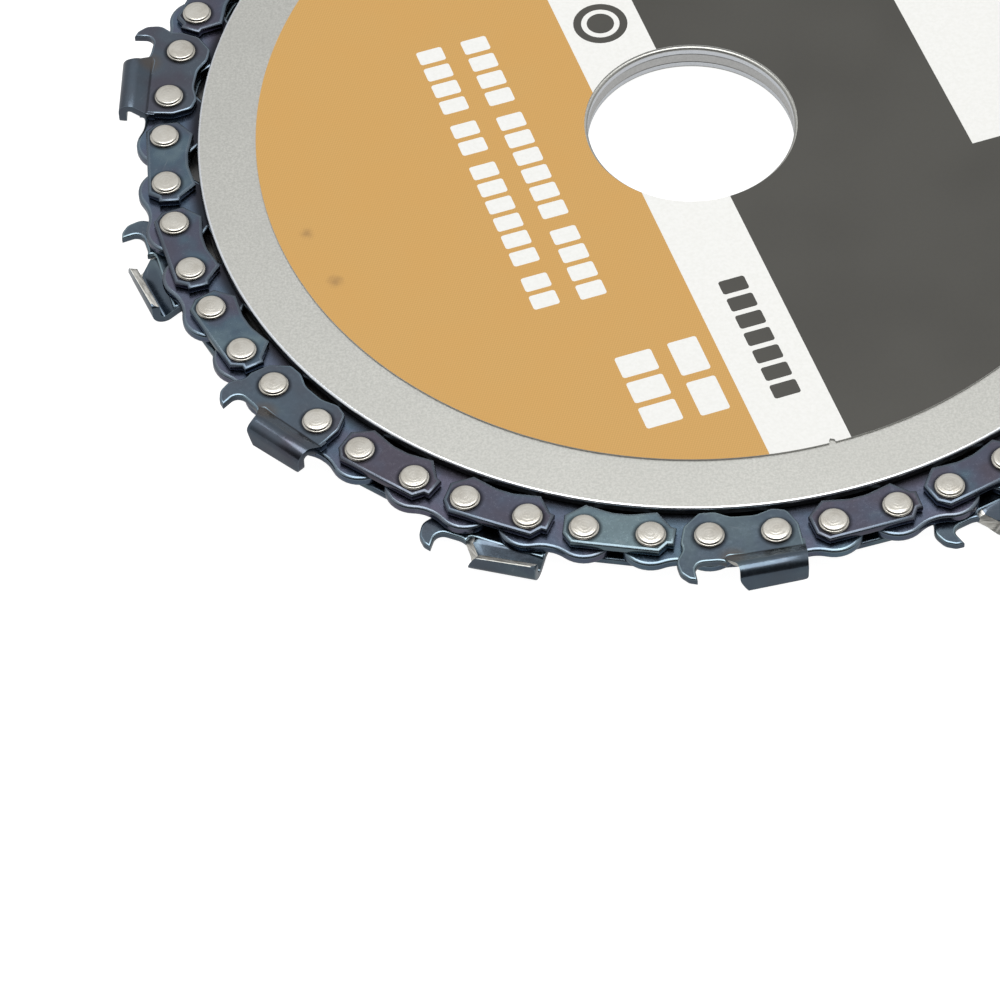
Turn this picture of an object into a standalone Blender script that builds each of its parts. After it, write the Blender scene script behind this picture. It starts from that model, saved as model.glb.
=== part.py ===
"""Angle grinder carving disc: a saw chain that runs round the rim of two steel plates.

The origin is on the bore's axis, halfway through the chain, and +Z points to the labelled side.
A link is modelled in its own frame: x points forward, the way the cutters travel, y points out
from the disc, z is up, and the origin is the middle of its two pivots. The disc turns clockwise
seen from +Z, so a link stands at its angle less a quarter turn.
"""

import math

import bmesh
import bpy
from mathutils import Matrix

MM = 0.001

# Chain layout. A strap pitch and a drive-link pitch together are half an inch: two pitches of quarter-inch chain.
LINK_PAIRS = 28
STRAP_PITCH = 6.8 * MM
DRIVE_PITCH = 5.9 * MM
STATIONS_PER_CUTTER = 4
CHAIN_TURN = math.radians(14.91)

# Layers, as distances from the middle of the chain.
DRIVE_HALF_THICKNESS = 0.45 * MM
LAYER_INNER = 0.60 * MM
LAYER_OUTER = 1.50 * MM
SPACER_HALF_THICKNESS = 0.50 * MM
LABEL_BOTTOM = 1.55 * MM
LABEL_TOP = 1.70 * MM

# Plates, spacer and label.
BORE_RADIUS = 11.115 * MM
BORE_CHAMFER = 0.27 * MM
PLATE_RADIUS = 53.1 * MM
RIM_CHAMFER = 0.15 * MM
SPACER_RADIUS = 48.0 * MM
LABEL_HOLE_RADIUS = 11.45 * MM
LABEL_RADIUS = 46.8 * MM
DISC_STEPS = 72

# Rivets: the shaft joins two straps, and a staked head stands on each.
SHAFT_RADIUS = 1.0 * MM
HEAD_RADIUS = 1.46 * MM
HEAD_TOP = 2.05 * MM
HEAD_ROOT = 1.30 * MM
RIVET_STEPS = 8
DRIVE_HOLE_RADIUS = 1.15 * MM

# Drive link: a round lobe about each pivot, a dip between them and a tang that runs in the slot.
LOBE_RADIUS = 3.1 * MM
DIP_DEPTH_FROM_LOBE = 0.65 * MM
TANG_TIP = 7.2 * MM

# Tie strap.
STRAP_HALF_LENGTH = 5.65 * MM
STRAP_OUTER_EDGE = 1.95 * MM
STRAP_INNER_EDGE = -3.08 * MM
STRAP_WAIST = -2.52 * MM

# Cutter: the tooth's outer corner sets the disc's size, and the depth gauge stands a little lower.
TOOTH_RADIUS = 62.5 * MM
TOOTH_RELIEF = 0.9 * MM
TOOTH_LEAD = 0.85 * MM
TOOTH_HEEL = -6.15 * MM
TOOTH_FACE_SLANT = 0.75 * MM
SIDE_PLATE_BULGE = 2.45 * MM
TOP_PLATE_REACH = -0.15 * MM
SHEET = 0.8 * MM
GULLET_CENTRE = (3.0 * MM, 5.4 * MM)
GULLET_RADIUS = 2.15 * MM


def circumscribed_radius():
    """Radius of the circle through every rivet of the closed chain."""
    half_period = math.pi / LINK_PAIRS
    product = 2 * STRAP_PITCH * DRIVE_PITCH * math.cos(half_period)
    two_links = math.sqrt(STRAP_PITCH**2 + DRIVE_PITCH**2 + product)
    return two_links / (2 * math.sin(half_period))


PIVOT_RADIUS = circumscribed_radius()
STRAP_DISTANCE = math.sqrt(PIVOT_RADIUS**2 - (STRAP_PITCH / 2) ** 2)
DRIVE_DISTANCE = math.sqrt(PIVOT_RADIUS**2 - (DRIVE_PITCH / 2) ** 2)
TOOTH_HEIGHT = math.sqrt(TOOTH_RADIUS**2 - TOOTH_LEAD**2) - STRAP_DISTANCE


def clear_scene():
    for obj in list(bpy.data.objects):
        bpy.data.objects.remove(obj, do_unlink=True)


def new_collection(name):
    collection = bpy.data.collections.new(name)
    bpy.context.scene.collection.children.link(collection)
    return collection


def new_material(name, colour, roughness, metallic):
    material = bpy.data.materials.new(name)
    material.use_nodes = True
    shader = material.node_tree.nodes["Principled BSDF"]
    shader.inputs["Base Color"].default_value = (*colour, 1.0)
    shader.inputs["Roughness"].default_value = roughness
    shader.inputs["Metallic"].default_value = metallic
    return material


def new_object(name, data, collection):
    obj = bpy.data.objects.new(name, data)
    collection.objects.link(obj)
    return obj


def arc(centre, radius, start_deg, end_deg, segments):
    """Points along an arc, both ends included."""
    points = []
    for i in range(segments + 1):
        angle = math.radians(start_deg + (end_deg - start_deg) * i / segments)
        points.append((centre[0] + radius * math.cos(angle), centre[1] + radius * math.sin(angle)))
    return points


def mirrored(half):
    """A full outline from its +x half, whose points run anticlockwise and stay off the y axis."""
    return half + [(-x, y) for x, y in reversed(half)]


def shade(mesh):
    mesh.shade_smooth()
    mesh.set_sharp_from_angle(angle=math.radians(35))


def baked(obj, collection, name):
    """A mesh object that keeps obj's evaluated shape and place. obj itself is removed."""
    bpy.context.view_layer.update()
    graph = bpy.context.evaluated_depsgraph_get()
    mesh = bpy.data.meshes.new_from_object(obj.evaluated_get(graph))
    mesh.name = name
    place = obj.matrix_world.copy()
    bpy.data.objects.remove(obj, do_unlink=True)
    shape = bmesh.new()
    shape.from_mesh(mesh)
    bmesh.ops.remove_doubles(shape, verts=shape.verts, dist=0.001 * MM)
    bmesh.ops.recalc_face_normals(shape, faces=shape.faces)
    shape.to_mesh(mesh)
    shape.free()
    result = new_object(name, mesh, collection)
    result.matrix_world = place
    return result


def flat_part(name, outlines, low, high, collection):
    """A flat solid between two heights. The first outline is its edge and any others are holes."""
    curve = bpy.data.curves.new(name, "CURVE")
    curve.dimensions = "2D"
    curve.fill_mode = "BOTH"
    curve.extrude = (high - low) / 2
    for outline in outlines:
        spline = curve.splines.new("POLY")
        spline.points.add(len(outline) - 1)
        for point, (x, y) in zip(spline.points, outline):
            point.co = (x, y, 0, 1)
        spline.use_cyclic_u = True
    obj = new_object(name, curve, collection)
    obj.location.z = (low + high) / 2
    return baked(obj, collection, name)


def turned_part(name, profile, steps, collection, closed):
    """A solid turned about Z from (radius, height) points that run down its outer side."""
    mesh = bpy.data.meshes.new(name)
    edges = [(i, i + 1) for i in range(len(profile) - 1)]
    if closed:
        edges.append((len(profile) - 1, 0))
    mesh.from_pydata([(radius, 0, height) for radius, height in profile], edges, [])
    obj = new_object(name, mesh, collection)
    screw = obj.modifiers.new("Turn", "SCREW")
    screw.steps = steps
    screw.render_steps = steps
    screw.use_merge_vertices = True
    screw.merge_threshold = 0.00001
    return obj


def united(base, others, collection, name):
    """One closed body from overlapping ones."""
    for other in others:
        join = base.modifiers.new("Join", "BOOLEAN")
        join.operation = "UNION"
        join.solver = "EXACT"
        join.object = other
    result = baked(base, collection, name)
    for other in others:
        bpy.data.objects.remove(other, do_unlink=True)
    return result


def plate(name, side, material, collection):
    """One of the two plates. side is 1 above the chain and -1 below it."""
    profile = [
        (BORE_RADIUS, LAYER_INNER),
        (BORE_RADIUS, LAYER_OUTER - BORE_CHAMFER),
        (BORE_RADIUS + BORE_CHAMFER, LAYER_OUTER),
        (PLATE_RADIUS - RIM_CHAMFER, LAYER_OUTER),
        (PLATE_RADIUS, LAYER_OUTER - RIM_CHAMFER),
        (PLATE_RADIUS, LAYER_INNER),
    ]
    if side < 0:
        profile = [(radius, -height) for radius, height in reversed(profile)]
    obj = turned_part(name, profile, DISC_STEPS, collection, closed=True)
    obj.data.materials.append(material)
    return obj


def ring(name, inner, outer, low, high, material, collection):
    """A flat ring: the spacer or the label."""
    profile = [(inner, low), (inner, high), (outer, high), (outer, low)]
    obj = turned_part(name, profile, DISC_STEPS, collection, closed=True)
    obj.data.materials.append(material)
    return obj


def rivet(x, collection):
    """A rivet with both heads staked, standing at a strap's pivot."""
    upper = [(0, HEAD_TOP), (HEAD_RADIUS, HEAD_TOP), (HEAD_RADIUS, HEAD_ROOT), (SHAFT_RADIUS, HEAD_ROOT)]
    profile = upper + [(radius, -height) for radius, height in reversed(upper)]
    obj = turned_part("rivet", profile, RIVET_STEPS, collection, closed=False)
    obj.location.x = x
    return baked(obj, collection, "rivet")


def strap_outline():
    corner_x = STRAP_HALF_LENGTH
    half = [
        (0.9 * MM, STRAP_WAIST),
        (2.3 * MM, STRAP_INNER_EDGE + 0.05 * MM),
        (3.9 * MM, STRAP_INNER_EDGE),
        (corner_x, -1.2 * MM),
        (corner_x, 0.5 * MM),
        (corner_x - 1.0 * MM, STRAP_OUTER_EDGE),
    ]
    return mirrored(half)


def cutter_outline():
    """Strap, gullet and depth gauge of a cutter, without its bent tooth."""
    waist = [(-1.0 * MM, STRAP_WAIST), (1.0 * MM, STRAP_WAIST)]
    front_lobe = [
        (2.4 * MM, -2.95 * MM),
        (4.0 * MM, STRAP_INNER_EDGE),
        (5.5 * MM, -1.8 * MM),
        (6.1 * MM, -0.6 * MM),
        (6.3 * MM, 0.9 * MM),
    ]
    depth_gauge = [
        (6.95 * MM, 2.9 * MM),
        (6.75 * MM, 3.8 * MM),
        (6.1 * MM, 4.7 * MM),
        (5.3 * MM, 5.3 * MM),
    ]
    gullet = arc(GULLET_CENTRE, GULLET_RADIUS, -12, -118, 5)
    rear_lobe = [
        (1.4 * MM, 2.45 * MM),
        (-6.1 * MM, 2.45 * MM),
        (-5.75 * MM, -0.9 * MM),
        (-4.4 * MM, -2.7 * MM),
        (-3.4 * MM, STRAP_INNER_EDGE + 0.05 * MM),
    ]
    return waist + front_lobe + depth_gauge + gullet + rear_lobe


def drive_outline():
    """A lobe about each pivot, a shallow dip on the outer side and the tang on the inner side."""
    pivot = (DRIVE_PITCH / 2, 0)
    lobe = arc(pivot, LOBE_RADIUS, -60, 100, 6)
    dip = (0.8 * MM, LOBE_RADIUS - DIP_DEPTH_FROM_LOBE)
    tang = [
        (-3.0 * MM, -3.6 * MM),
        (-1.8 * MM, -5.0 * MM),
        (-0.7 * MM, -TANG_TIP + 0.5 * MM),
        (0.4 * MM, -TANG_TIP),
        (1.3 * MM, -TANG_TIP + 0.5 * MM),
        (2.1 * MM, -4.6 * MM),
    ]
    return tang + mirrored(lobe + [dip])


def tooth_section(height):
    """(y, z) points of a tooth's outer surface, from inside the strap over the bend to its free edge."""
    return [
        (2.0 * MM, LAYER_OUTER - 0.05 * MM),
        (2.6 * MM, LAYER_OUTER + 0.05 * MM),
        (3.5 * MM, SIDE_PLATE_BULGE - 0.2 * MM),
        (height - 1.0 * MM, SIDE_PLATE_BULGE),
        (height - 0.3 * MM, SIDE_PLATE_BULGE - 0.25 * MM),
        (height, SIDE_PLATE_BULGE - 0.95 * MM),
        (height, TOP_PLATE_REACH),
    ]


def tooth(collection):
    """The bent sheet behind the gullet: a side plate that leans outwards and a top plate folded over it."""
    lead_height = TOOTH_HEIGHT
    heel_height = TOOTH_HEIGHT - TOOTH_RELIEF
    lead_x = [1.75 * MM, 1.6 * MM, 1.25 * MM, TOOTH_LEAD, TOOTH_LEAD, TOOTH_LEAD - 0.1 * MM]
    lead_x.append(TOOTH_LEAD - TOOTH_FACE_SLANT)
    shape = bmesh.new()
    columns = []
    for xs, height in ((lead_x, lead_height), ([TOOTH_HEEL] * 7, heel_height)):
        section = tooth_section(height)
        columns.append([shape.verts.new((x, y, z)) for x, (y, z) in zip(xs, section)])
    lead, heel = columns
    for i in range(len(lead) - 1):
        shape.faces.new((lead[i], lead[i + 1], heel[i + 1], heel[i]))
    mesh = bpy.data.meshes.new("tooth")
    shape.to_mesh(mesh)
    shape.free()
    obj = new_object("tooth", mesh, collection)
    thicken = obj.modifiers.new("Sheet", "SOLIDIFY")
    thicken.thickness = SHEET
    thicken.offset = -1
    thicken.use_even_offset = True
    return baked(obj, collection, "tooth")


def outer_link(name, upper_outline, extras, helpers):
    """Two straps and the two rivets that hold them: one rigid link of the chain, as a mesh."""
    upper = flat_part("upper_strap", [upper_outline], LAYER_INNER, LAYER_OUTER, helpers)
    lower = flat_part("lower_strap", [strap_outline()], -LAYER_OUTER, -LAYER_INNER, helpers)
    rivets = [rivet(side * STRAP_PITCH / 2, helpers) for side in (-1, 1)]
    link = united(upper, [*extras, *rivets, lower], helpers, name)
    return take_mesh(link)


def take_mesh(obj):
    """The object's mesh with its place written in, and the object itself removed."""
    mesh = obj.data
    mesh.transform(obj.matrix_world)
    bpy.data.objects.remove(obj, do_unlink=True)
    shade(mesh)
    return mesh


def upside_down(mesh, name):
    """A mirror image of the mesh through the middle plane of the chain."""
    copy = mesh.copy()
    copy.name = name
    copy.transform(Matrix.Diagonal((1, 1, -1, 1)))
    copy.flip_normals()
    return copy


def place_link(name, mesh, angle, distance, chain, collection):
    obj = new_object(name, mesh, collection)
    obj.parent = chain
    obj.location = (distance * math.cos(angle), distance * math.sin(angle), 0)
    obj.rotation_euler.z = angle - math.pi / 2
    return obj


def build_discs(collection):
    steel = new_material("plate_steel", (0.56, 0.56, 0.53), 0.38, 1.0)
    spacer_steel = new_material("spacer_steel", (0.42, 0.42, 0.41), 0.45, 1.0)
    paper = new_material("label_paper", (0.65, 0.39, 0.11), 0.6, 0.0)
    lift = new_object("upper_plate_lift", None, collection)
    plate("lower_plate", -1, steel, collection)
    ring(
        "spacer_ring", BORE_RADIUS, SPACER_RADIUS, -SPACER_HALF_THICKNESS, SPACER_HALF_THICKNESS,
        spacer_steel, collection,
    )
    upper = plate("upper_plate", 1, steel, collection)
    label = ring("label", LABEL_HOLE_RADIUS, LABEL_RADIUS, LABEL_BOTTOM, LABEL_TOP, paper, collection)
    upper.parent = lift
    label.parent = lift


def build_chain(collection, helpers):
    blued = new_material("chain_steel", (0.06, 0.08, 0.12), 0.3, 1.0)
    chain = new_object("chain_axis", None, collection)
    tie = outer_link("tie_link", strap_outline(), [], helpers)
    upper_cutter = outer_link("cutter_link", cutter_outline(), [tooth(helpers)], helpers)
    lower_cutter = upside_down(upper_cutter, "lower_cutter_link")
    holes = [
        arc((side * DRIVE_PITCH / 2, 0), DRIVE_HOLE_RADIUS, 0, 360 - 360 / RIVET_STEPS, RIVET_STEPS - 1)
        for side in (-1, 1)
    ]
    drive = flat_part(
        "drive_link", [drive_outline(), *holes], -DRIVE_HALF_THICKNESS, DRIVE_HALF_THICKNESS, helpers
    )
    drive = take_mesh(drive)
    for mesh in (tie, upper_cutter, lower_cutter, drive):
        mesh.materials.clear()
        mesh.materials.append(blued)

    period = 2 * math.pi / LINK_PAIRS
    kinds = {
        0: ("upper_cutter_link", upper_cutter),
        1: ("tie_link", tie),
        2: ("lower_cutter_link", lower_cutter),
        3: ("tie_link", tie),
    }
    counts = {}
    for station in range(LINK_PAIRS):
        angle = CHAIN_TURN + station * period
        kind, mesh = kinds[station % STATIONS_PER_CUTTER]
        counts[kind] = counts.get(kind, 0) + 1
        place_link(f"{kind}_{counts[kind]:02d}", mesh, angle, STRAP_DISTANCE, chain, collection)
        between = angle + period / 2
        place_link(f"drive_link_{station + 1:02d}", drive, between, DRIVE_DISTANCE, chain, collection)


def main():
    clear_scene()
    parts = new_collection("grinder_carving_disc")
    helpers = new_collection("helpers")
    build_discs(parts)
    build_chain(parts, helpers)


main()
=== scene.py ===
"""Looks of the angle grinder carving disc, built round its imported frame.

Shapes are drawn in millimetres, as in the frame's own design, and become metres when their mesh
is finished. A link's own axes are: x forward, the way the cutters travel, y out from the disc, z up,
with the origin in the middle of its two pivots.
"""

import math
import random

import bmesh
import bpy
from mathutils import Matrix, Vector
from mathutils.geometry import delaunay_2d_cdt, tessellate_polygon


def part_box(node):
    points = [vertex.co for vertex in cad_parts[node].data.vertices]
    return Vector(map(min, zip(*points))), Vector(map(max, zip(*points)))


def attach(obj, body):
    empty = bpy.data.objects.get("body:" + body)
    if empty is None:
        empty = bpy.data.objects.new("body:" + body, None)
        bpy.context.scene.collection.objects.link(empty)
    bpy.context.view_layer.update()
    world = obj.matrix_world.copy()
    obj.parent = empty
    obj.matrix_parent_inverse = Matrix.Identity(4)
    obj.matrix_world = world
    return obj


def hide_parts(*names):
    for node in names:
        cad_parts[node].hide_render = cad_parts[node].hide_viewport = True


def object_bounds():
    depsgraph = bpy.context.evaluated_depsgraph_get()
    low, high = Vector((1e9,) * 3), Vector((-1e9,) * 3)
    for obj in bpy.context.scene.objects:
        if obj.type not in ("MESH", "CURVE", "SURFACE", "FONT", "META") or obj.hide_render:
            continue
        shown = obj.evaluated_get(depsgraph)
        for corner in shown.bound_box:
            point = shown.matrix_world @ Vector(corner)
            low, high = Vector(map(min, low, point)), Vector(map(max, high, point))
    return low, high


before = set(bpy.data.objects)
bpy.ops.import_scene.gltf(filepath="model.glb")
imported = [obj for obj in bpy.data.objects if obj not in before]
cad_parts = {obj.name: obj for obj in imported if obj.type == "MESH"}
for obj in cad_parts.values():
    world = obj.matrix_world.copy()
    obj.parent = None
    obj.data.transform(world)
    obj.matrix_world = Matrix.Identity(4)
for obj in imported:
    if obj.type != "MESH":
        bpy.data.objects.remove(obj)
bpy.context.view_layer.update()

MM = 0.001


def top_of(node):
    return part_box(node)[1].z / MM


def reach_of(node):
    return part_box(node)[1].x / MM


# Chain layout, as in the frame: 28 pairs of links on a closed ring.
LINK_PAIRS = 28
STRAP_PITCH = 6.8
DRIVE_PITCH = 5.9
STATIONS_PER_CUTTER = 4
CHAIN_TURN = math.radians(14.91)
HALF_PERIOD = math.pi / LINK_PAIRS
TWO_LINKS = math.sqrt(STRAP_PITCH**2 + DRIVE_PITCH**2 + 2 * STRAP_PITCH * DRIVE_PITCH * math.cos(HALF_PERIOD))
PIVOT_RADIUS = TWO_LINKS / (2 * math.sin(HALF_PERIOD))
STRAP_DISTANCE = math.sqrt(PIVOT_RADIUS**2 - (STRAP_PITCH / 2) ** 2)
DRIVE_DISTANCE = math.sqrt(PIVOT_RADIUS**2 - (DRIVE_PITCH / 2) ** 2)

# Layers. The frame leaves play between its solids, and the looks close it to the real fit.
STEEL_TOP = top_of("upper_plate")
STEEL_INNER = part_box("upper_plate")[0].z / MM
DRIVE_HALF = 0.56
SPACER_HALF = 0.585
HEAD_TOP = top_of("tie_link_01")
LABEL_LIFT = 0.015
LABEL_TOP = top_of("label")

# Plates and label.
PLATE_RADIUS = reach_of("upper_plate")
SPACER_RADIUS = reach_of("spacer_ring")
LABEL_RADIUS = reach_of("label")
BORE_RADIUS = 11.115
BORE_ROUNDING = 0.29
RIM_ROUNDING = 0.27
SEAM_ROUNDING = 0.05
LABEL_HOLE_RADIUS = 11.45
DISC_STEPS = 288

# Rivets.
SHAFT_RADIUS = 1.0
HOLE_RADIUS = 1.04
DRIVE_HOLE_RADIUS = 1.15
COLLAR_RADIUS = 1.58
HEAD_RADIUS = 1.42
RIVET_TILT = math.radians(1.1)
# How wide the painted shadow ring round each rivet is.
RIVET_SHADOW_WIDTH = 0.5
RIVET_STEPS = 48

# Drive link.
LOBE_RADIUS = 3.1
DIP_HEIGHT = 2.45
TANG_TIP = 7.2

# Straps and cutters.
TOOTH_HEIGHT = 5.95
TOOTH_RELIEF = 0.9
TOOTH_HEEL = -6.15
HEEL_CORNER = 0.5
TOOTH_SHEET = 0.85
STRAP_LEVEL = 1.49
BEND_RADIUS = 1.25
BEND_START_DEG = 121.8
BEND_CENTRE_Z = 1.165
CREASE = 2.85
CREASE_FRONT = 1.8
FREE_EDGE = -0.28
THIN_EDGE = 0.15
THINNING_FROM = 0.02
FACE_SLANT = 0.85
SLANT_TOP = BEND_CENTRE_Z + 0.4
# How far back the tooth's front face is ground hollow, and where its side plate starts to bulge.
TOP_HOLLOW, SIDE_HOLLOW = 0.35, 1.1
BULGE_FROM, BULGE_LENGTH = 2.5, 1.55
GULLET_CENTRE = (3.0, 5.4)
GULLET_RADIUS = 2.15
# The cutting edge follows the gullet's circle down to this squared distance behind its centre.
GULLET_END = 0.42

# Edges as the press leaves them: how far in from the outline they start, and how far they drop.
STRAP_ROLL = (0.34, 0.19)
CUTTER_ROLL = (0.24, 0.17)
DRIVE_ROLL = (0.38, 0.26)

# A grinding stain, and painted shade on the drive links where they go down between the plates.
BURN_CENTRE = (1.3, 3.15)
DRIVE_SHADE_EDGE = -1.7
DRIVE_SHADE_FADE = 1.5

# Print.
SCREEN_PITCH = 0.36
SMUDGES = ((-41.4, -13.6), (-38.5, -20.5))
SMUDGE_RADIUS = 1.1

# Material slots of the chain's meshes, of the plates, whose plain faces have slot 0, and of the label.
BODY, WORN, GROUND = 0, 1, 2
EDGE, SLOT_SHADE, RIM_SHADE = 1, 2, 3
TAN, WHITE, DARK = 0, 1, 2


# Outlines ------------------------------------------------------------------------------------------


def arc(centre, radius, start_deg, end_deg, step_deg=10):
    """Points along an arc, both ends included."""
    count = max(1, math.ceil(abs(end_deg - start_deg) / step_deg))
    points = []
    for i in range(count + 1):
        angle = math.radians(start_deg + (end_deg - start_deg) * i / count)
        points.append((centre[0] + radius * math.cos(angle), centre[1] + radius * math.sin(angle)))
    return points


def fillet(before, corner, after, radius, step_deg=12):
    """The points that round off one corner."""
    here = Vector(corner)
    back = Vector(before) - here
    ahead = Vector(after) - here
    room = 0.48 * min(back.length, ahead.length)
    back.normalize()
    ahead.normalize()
    half = back.angle(ahead) / 2
    if radius <= 0 or half > math.radians(88):
        return [corner]
    reach = min(radius / math.tan(half), room)
    radius = reach * math.tan(half)
    centre = here + (back + ahead).normalized() * (radius / math.sin(half))
    start = here + back * reach - centre
    turn = math.pi - 2 * half
    if back.cross(ahead) > 0:
        turn = -turn
    count = max(1, math.ceil(math.degrees(abs(turn)) / step_deg))
    points = []
    for i in range(count + 1):
        spoke = Matrix.Rotation(turn * i / count, 2) @ start
        points.append((centre.x + spoke.x, centre.y + spoke.y))
    return points


def rounded(corners, closed=True):
    """An outline from (x, y) points, kept sharp, and (x, y, radius) corners, which are rounded off."""
    count = len(corners)
    points = []
    for i, corner in enumerate(corners):
        at_end = not closed and i in (0, count - 1)
        if len(corner) == 2 or at_end:
            points.append(corner[:2])
            continue
        before = corners[i - 1][:2]
        after = corners[(i + 1) % count][:2]
        points.extend(fillet(before, corner[:2], after, corner[2]))
    return points


def mirrored(half):
    """A full outline from its +x half, whose corners run anticlockwise and stay off the y axis."""
    return half + [(-corner[0], *corner[1:]) for corner in reversed(half)]


def offset_loop(points, distance):
    """A closed loop moved towards its left by distance, with mitred corners."""
    moved = []
    for i, point in enumerate(points):
        here = Vector(point)
        into = (here - Vector(points[i - 1])).normalized()
        out = (Vector(points[(i + 1) % len(points)]) - here).normalized()
        left = Vector((-into.y, into.x))
        mitre = (left + Vector((-out.y, out.x))).normalized()
        here += mitre * distance / max(0.5, mitre.dot(left))
        moved.append((here.x, here.y))
    return moved


def strap_outline():
    """A tie strap: hollow towards the disc, with clipped corners and a small step at its rear end."""
    return rounded([
        (0.9, -2.45, 2.5),
        (3.68, -3.1),
        (5.62, -1.5),
        (5.5, 0.85),
        (4.5, 1.98),
        (-4.5, 1.98),
        (-5.25, 0.88),
        (-5.85, 0.86),
        (-5.87, -1.3),
        (-5.3, -1.42),
        (-3.68, -3.1),
        (-0.9, -2.45, 2.5),
    ])


def cutter_outline():
    """Strap, depth gauge and gullet of a cutter, without its bent tooth."""
    lower_edge = [
        (-3.2, -3.05, 1.2),
        (-1.5, -2.36, 2.0),
        (1.0, -2.34, 2.0),
        (2.6, -3.1, 1.6),
        (4.2, -3.1, 0.7),
        (5.9, -1.5, 1.0),
        (6.4, 0.6, 1.2),
    ]
    depth_gauge = [
        (6.2, 1.5, 1.2),
        (7.05, 2.9, 1.4),
        (6.75, 4.45, 1.2),
        (5.9, 5.28, 0.8),
        (5.08, 5.5),
        (5.3, 3.25, 1.3),
    ]
    gullet = arc(GULLET_CENTRE, GULLET_RADIUS, -92, -118)
    rear = [
        (1.85, 2.75, 0.4),
        (-6.1, 2.75),
        (-5.75, -0.9, 1.2),
        (-4.7, -2.75, 1.0),
    ]
    return rounded(lower_edge + depth_gauge + gullet + rear)


def drive_outline():
    """A round lobe about each pivot, a hollow between them that both lobes run into, and the tang."""
    half = DRIVE_PITCH / 2
    hollow_radius = (half**2 + DIP_HEIGHT**2 - LOBE_RADIUS**2) / (2 * (LOBE_RADIUS - DIP_HEIGHT))
    hollow_centre = DIP_HEIGHT + hollow_radius
    meeting = 180 - math.degrees(math.atan2(hollow_centre, half))
    lobe = arc((half, 0), LOBE_RADIUS, -66, meeting)
    hollow = arc((0, hollow_centre), hollow_radius, meeting - 180, -90, 6)[1:-1]
    tang = [
        (-3.3, -3.6, 0.8),
        (-2.6, -4.6, 1.5),
        (-1.3, -5.6, 1.5),
        (-0.6, -TANG_TIP, 0.9),
        (1.2, -TANG_TIP, 0.8),
        (1.75, -5.6, 1.2),
        (3.3, -3.7, 0.9),
    ]
    return rounded(tang + mirrored(lobe + hollow))


def pivot_holes(pitch, radius):
    """A link's two round holes, clockwise, so that its material is on their left."""
    return [arc((side * pitch / 2, 0), radius, 360, 0, 15)[:-1] for side in (-1, 1)]


# Solids --------------------------------------------------------------------------------------------


def mesh_of(shape, name):
    mesh = bpy.data.meshes.new(name)
    shape.to_mesh(mesh)
    shape.free()
    return mesh


def new_mesh(name, shape, finishes):
    """The bmesh as a mesh in metres, with the materials of its slots, by their names in MATERIALS.

    Its level faces are flat, and the rest is smooth up to 40 degrees.
    """
    bmesh.ops.recalc_face_normals(shape, faces=shape.faces)
    mesh = mesh_of(shape, name)
    mesh.transform(Matrix.Scale(MM, 4))
    for finish in finishes:
        mesh.materials.append(MATERIALS[finish])
    mesh.set_sharp_from_angle(angle=math.radians(40))
    for polygon in mesh.polygons:
        polygon.use_smooth = abs(polygon.normal.z) < 0.9999
    return mesh


def roll_levels(low, high, roll, steps):
    """(inset, height) pairs down a rolled edge, from the top face to the bottom face."""
    width, depth = roll
    top = []
    for i in range(steps + 1):
        angle = math.pi / 2 * i / steps
        top.append((width * (1 - math.sin(angle)), depth * (1 - math.cos(angle))))
    levels = [(inset, high - drop) for inset, drop in top]
    return levels + [(inset, low + drop) for inset, drop in reversed(top)]


def flat_solid(outlines, low, high, roll, steps=4):
    """A bmesh plate between two heights. The first outline runs anticlockwise, its holes clockwise."""
    shape = bmesh.new()
    levels = roll_levels(low, high, roll, steps)
    rings = []
    for outline in outlines:
        for inset, height in levels:
            loop = offset_loop(outline, inset) if inset else outline
            rings.append([shape.verts.new((x, y, height)) for x, y in loop])
    for number in range(len(outlines)):
        first = number * len(levels)
        for i in range(first, first + len(levels) - 1):
            upper, lower = rings[i], rings[i + 1]
            on_wall = i - first == steps
            for j in range(len(upper)):
                face = shape.faces.new((upper[j - 1], upper[j], lower[j], lower[j - 1]))
                face.material_index = BODY if on_wall else WORN
    for i in (0, len(levels) - 1):
        loops = [rings[number * len(levels) + i] for number in range(len(outlines))]
        corners = [vert for loop in loops for vert in loop]
        for triangle in tessellate_polygon([[vert.co for vert in loop] for loop in loops]):
            shape.faces.new([corners[k] for k in triangle])
    return shape


def turned(profile, steps, slots_of_rows=None):
    """A bmesh turned about Z from (radius, height) points.

    The profile is closed unless it starts on the axis, where an open one also ends.
    """
    shape = bmesh.new()
    rings = []
    for radius, height in profile:
        if radius == 0:
            rings.append([shape.verts.new((0, 0, height))])
            continue
        ring = []
        for i in range(steps):
            angle = 2 * math.pi * i / steps
            ring.append(shape.verts.new((radius * math.cos(angle), radius * math.sin(angle), height)))
        rings.append(ring)
    pairs = list(zip(rings, rings[1:]))
    if profile[0][0] > 0:
        pairs.append((rings[-1], rings[0]))
    for row, (a, b) in enumerate(pairs):
        for i in range(steps):
            corners = [a[(i - 1) % len(a)], a[i % len(a)], b[i % len(b)], b[(i - 1) % len(b)]]
            face = shape.faces.new(list(dict.fromkeys(corners)))
            face.material_index = (slots_of_rows or {}).get(row, 0)
    return shape


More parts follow.
